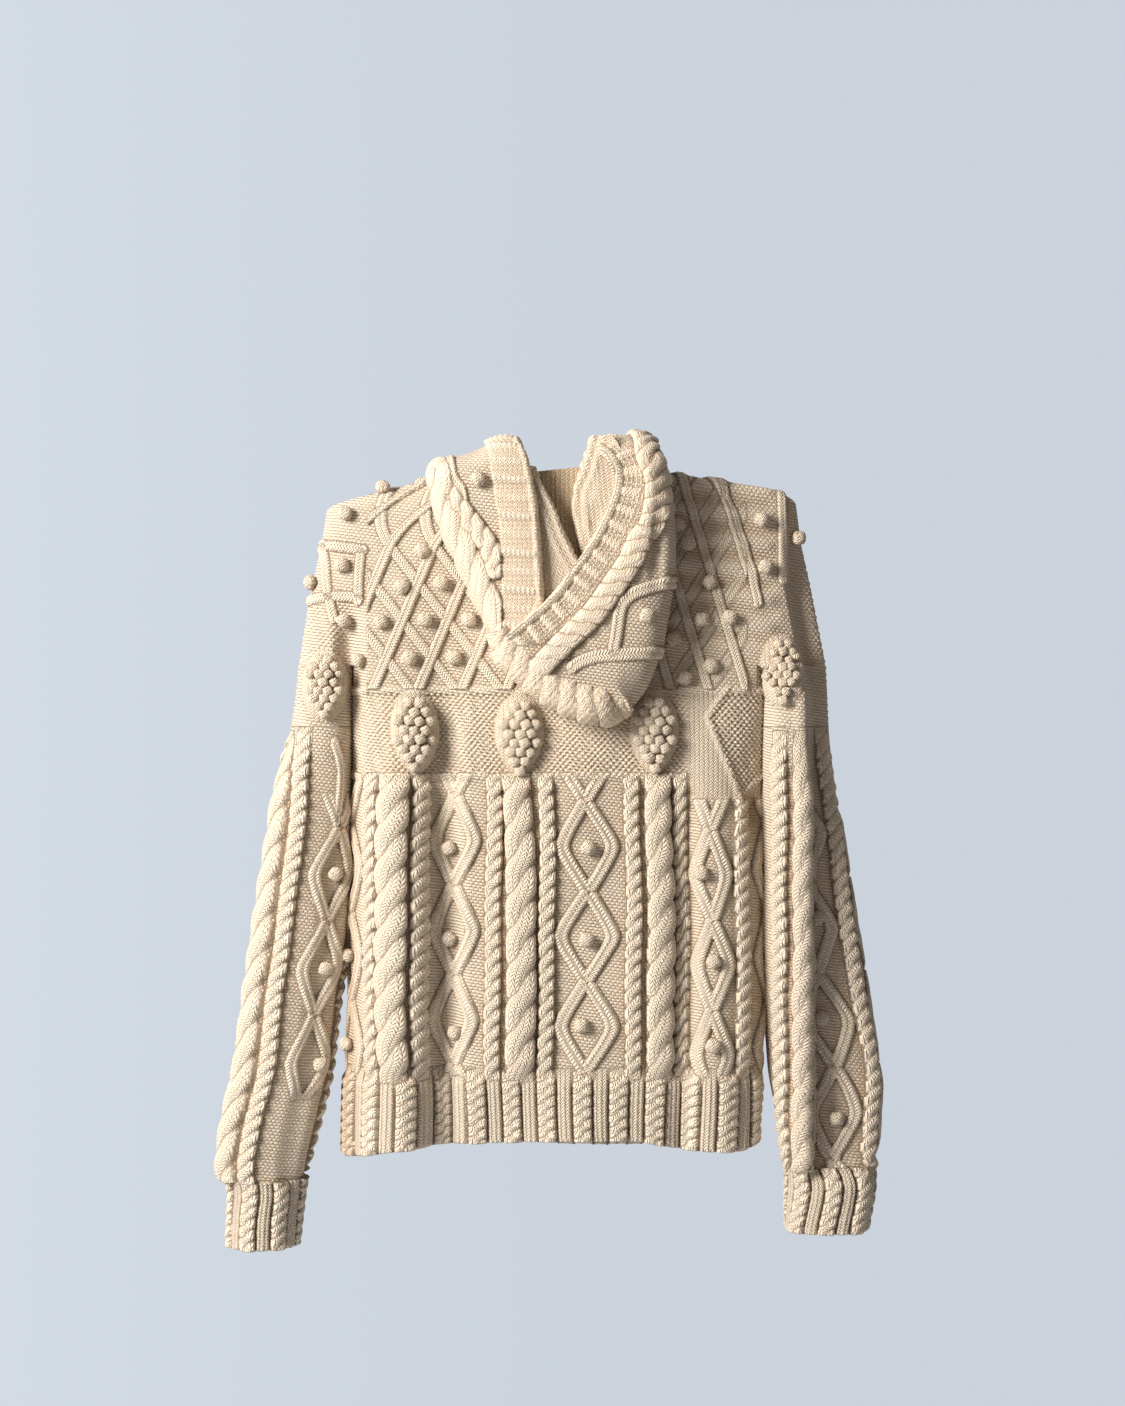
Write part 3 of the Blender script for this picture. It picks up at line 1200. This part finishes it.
def wool(name, plain, deep):
    """Wool knit. The stitch attribute gives the column, the row and the kind of stitch at each point."""
    material = bpy.data.materials.new(name)
    material.use_nodes = True
    tree = material.node_tree
    nodes, links = tree.nodes, tree.links
    nodes.clear()
    out, shader = nodes.new("ShaderNodeOutputMaterial"), nodes.new("ShaderNodeBsdfPrincipled")
    for key, value in (
        ("Roughness", 0.95), ("Sheen Weight", 0.2), ("Sheen Roughness", 0.5), ("Sheen Tint", (1.0, 0.92, 0.80, 1)),
        ("Specular IOR Level", 0.15),
    ):
        shader.inputs[key].default_value = value
    stitch, groove = nodes.new("ShaderNodeAttribute"), nodes.new("ShaderNodeAttribute")
    stitch.attribute_name, groove.attribute_name = "stitch", "cavity"
    cavity = Signal(tree, groove.outputs["Fac"])
    column, row, kind = axes(tree, stitch.outputs["Vector"])
    place = nodes.new("ShaderNodeTexCoord").outputs["Object"]

    def noise(scale, detail):
        made = nodes.new("ShaderNodeTexNoise")
        made.inputs["Scale"].default_value = scale
        made.inputs["Detail"].default_value = detail
        links.new(place, made.inputs["Vector"])
        return Signal(tree, made.outputs["Fac"])

    fuzz, cloud, wander = noise(1100, 2), noise(12, 4), noise(160, 2)
    column, row = column + wander * 0.35, row + wander * 0.5
    # plain knit: columns of vees
    across = (column.maths("FRACT") * 2.0 + -1.0).maths("ABSOLUTE")
    vee = ((row + across * 0.9) * (2 * math.pi)).maths("COSINE") * 0.5 + 0.5
    plain_height = vee * 0.62 + across.maths("POWER", 5.0).rest() * 0.38
    # purl ground: rows of short bars, each row half a stitch on from the last
    tilted = row + column * 0.22
    bar = (column + tilted.maths("FLOOR") * 0.5).wave()
    purl_height = tilted.wave() * (bar * 0.45 + 0.55)
    is_plain = kind.maths("GREATER_THAN", 0.75)
    shown = (kind.maths("LESS_THAN", 0.9) * 0.55).rest()
    height = plain_height * shown * is_plain + purl_height * is_plain.rest()
    bump = nodes.new("ShaderNodeBump")
    bump.inputs["Strength"].default_value = 1.0
    bump.inputs["Distance"].default_value = 0.0024
    (height * 0.8 + fuzz * 0.4).into(bump.inputs["Height"])
    links.new(bump.outputs["Normal"], shader.inputs["Normal"])
    light = (height * 0.30 + cavity * 0.75 + cloud * 0.18).ramp(0.12, 0.86)
    links.new(light.blend(deep, plain), shader.inputs["Base Color"])
    links.new(shader.outputs["BSDF"], out.inputs["Surface"])
    return material


# ---- build

cream = wool("cream_wool", (0.93, 0.815, 0.675), (0.66, 0.48, 0.32))
shade = wool("inner_wool", (0.84, 0.69, 0.49), (0.50, 0.34, 0.20))

make_body(cream)
make_yoke(cream)
make_sleeve(-1, cream)
make_sleeve(1, cream)
make_hood(cream, shade)

left_net = [cell_point(LEFT_CELLS, a, b) for b, most in ((0, 3), (1, 2), (2, 1), (3, 0)) for a in range(most + 1)]
right_net = [
    (127, -47), (144, -78), (154, -118), (163, -156), (131, -161), (105, -179), (140, -203), (115, -214), (171, -40),
]
bobbles("yoke_bobbles", "root", [("back_yoke", x, z, 7.0) for x, z in left_net + right_net if x > -170], cream)
body_spots = [("back", x, z, 6.9) for x, z in (
    (28, -367), (27, -450), (22, -528), (-96, -368), (-97, -451), (-90, -535), (132, -390), (142, -470), (141, -546),
    (-188, -468), (-189, -549),
)]
bobbles("body_bobbles", "root", body_spots, cream)
for i, (x, z) in enumerate(CLUSTERS):
    bobbles("body_cluster_%d" % i, "root", cluster_spots("back", x, z - 2), cream)
    bobbles("front_cluster_%d" % i, "root", cluster_spots("front", x, z - 2), cream)
front_spots = [("front", x, z, 6.9) for _, x, z, _ in body_spots if abs(x) < 150]
front_spots += [("front_yoke", x, z, 7.0) for x, z in left_net + right_net if abs(x) > 60 and abs(x) < 140 and z > -195]
bobbles("front_bobbles", "root", front_spots, cream)
for side, name, body in ((-1, "left", "left_sleeve_body"), (1, "right", "right_sleeve_body")):
    caps = ([(-158, -44), (-191, -65), (-195, -112), (-195, -161), (-222, -128), (-175, -200)] if side < 0
            else [(185, -71), (188, -114), (219, -86)])
    surface_name = name + "_sleeve"
    bobbles(name + "_cap_bobbles", "root", [(surface_name, x, z, 6.9) for x, z in caps], cream)
    x, z = SLEEVE_CLUSTERS[side]
    bunch = bobbles(name + "_cluster", None, cluster_spots(surface_name, x, z, 0.86), cream)
    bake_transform(bunch)
    lower = ([(-203, -392), (-212, -478), (-217, -566)] if side < 0
             else [(236, -433), (241, -524), (255, -616)])
    low = bobbles(name + "_sleeve_bobbles", None, [(surface_name, x, z, 6.9) for x, z in lower], cream)
    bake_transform(low)
bobbles("hood_bobbles", "hood_body", [("hood_left_side", -69, -38, 7.0), ("hood_right_side", 79, -159, 7.0)], cream)

# ---- flat sizes

YOKES = ("knit_back_yoke", "knit_front_yoke")
# piece: (width, length, share of that rectangle, what it hangs from)
FLAT = {"knit_back_yoke": (0.375, 0.206, 0.72, ()), "knit_front_yoke": (0.375, 0.182, 0.72, ())}
for part, length, above in (("moss_band", 0.100, "yoke"), ("body", 0.274, "moss_band"), ("hem_rib", 0.075, "body")):
    for side in ("knit_back_", "knit_front_"):
        FLAT[side + part] = (0.435, length, 1, (side + above,))
FLAT |= {
    "knit_left_sleeve": (0.270, 0.72, 0.84, YOKES),
    "knit_right_sleeve": (0.270, 0.71, 0.84, YOKES),
    "hood_left_side": (0.150, 0.30, 0.75, YOKES),
    "hood_right_side": (0.150, 0.40, 0.75, YOKES),
    "hood_crown_fold": (0.070, 0.150, 0.9, ("hood_right_side",)),
    "hood_nape": (0.125, 0.165, 1, ("hood_left_side", "hood_right_side")),
    "hood_left_layer": (0.085, 0.140, 0.8, ("hood_left_side",)),
    "hood_right_layer": (0.055, 0.125, 0.85, ("hood_right_side",)),
}

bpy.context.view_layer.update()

# ---- camera, light and floor


def make_stage():
    scene = bpy.context.scene
    camera_data = bpy.data.cameras.new("camera")
    camera = bpy.data.objects.new("camera", camera_data)
    scene.collection.objects.link(camera)
    distance, nearest, width_seen, film = 2.3, 0.05, 1.0125, 36
    camera.location = (0.005, -distance, -0.237)
    camera.rotation_euler = (math.pi / 2, 0, 0)
    camera_data.sensor_fit = "HORIZONTAL"
    camera_data.sensor_width = film
    camera_data.lens = film * (distance - nearest) / width_seen
    scene.camera = camera

    world = bpy.data.worlds.new("world")
    scene.world = world
    world.use_nodes = True
    tree = world.node_tree
    background = tree.nodes["Background"]
    x, y, _ = axes(tree, tree.nodes.new("ShaderNodeTexCoord").outputs["Generated"])
    # a room that is brightest behind the garment and to its left
    glow = x.ramp(0.1, -0.9, 0.42, "SMOOTHSTEP") + (y.ramp(0.1, 0.9, 0.74, "SMOOTHSTEP") + 0.24)
    glow.into(background.inputs["Strength"])
    # the wall side is cool, and the light that comes back from the room is warm
    colour = y.ramp(-0.1, 0.6).blend((0.74, 0.66, 0.58), (0.61, 0.66, 0.73))
    tree.links.new(colour, background.inputs["Color"])

    lamp = bpy.data.lights.new("key", "AREA")
    lamp.shape = "RECTANGLE"
    lamp.size, lamp.size_y = 1.0, 1.3
    lamp.energy = 120
    lamp.color = (1.0, 0.935, 0.855)
    key = bpy.data.objects.new("key", lamp)
    scene.collection.objects.link(key)
    key.location = (-1.95, -1.7, 0.7)
    key.rotation_euler = (Vector((0, 0, -0.3)) - key.location).to_track_quat("-Z", "Y").to_euler()
    scene.view_settings.view_transform = "Standard"

    mesh = bpy.data.meshes.new("floor")
    radius, level, corners = 0.9, -1.15, 64
    turns = [2 * math.pi * i / corners for i in range(corners)]
    mesh.from_pydata([(radius * math.cos(a), radius * math.sin(a), level) for a in turns], [], [list(range(corners))])
    plaster = bpy.data.materials.new("plaster")
    plaster.use_nodes = True
    paint = plaster.node_tree.nodes["Principled BSDF"].inputs
    paint["Base Color"].default_value = (0.62, 0.66, 0.70, 1)
    paint["Roughness"].default_value = 0.9
    floor = linked("floor", mesh, plaster)


make_stage()
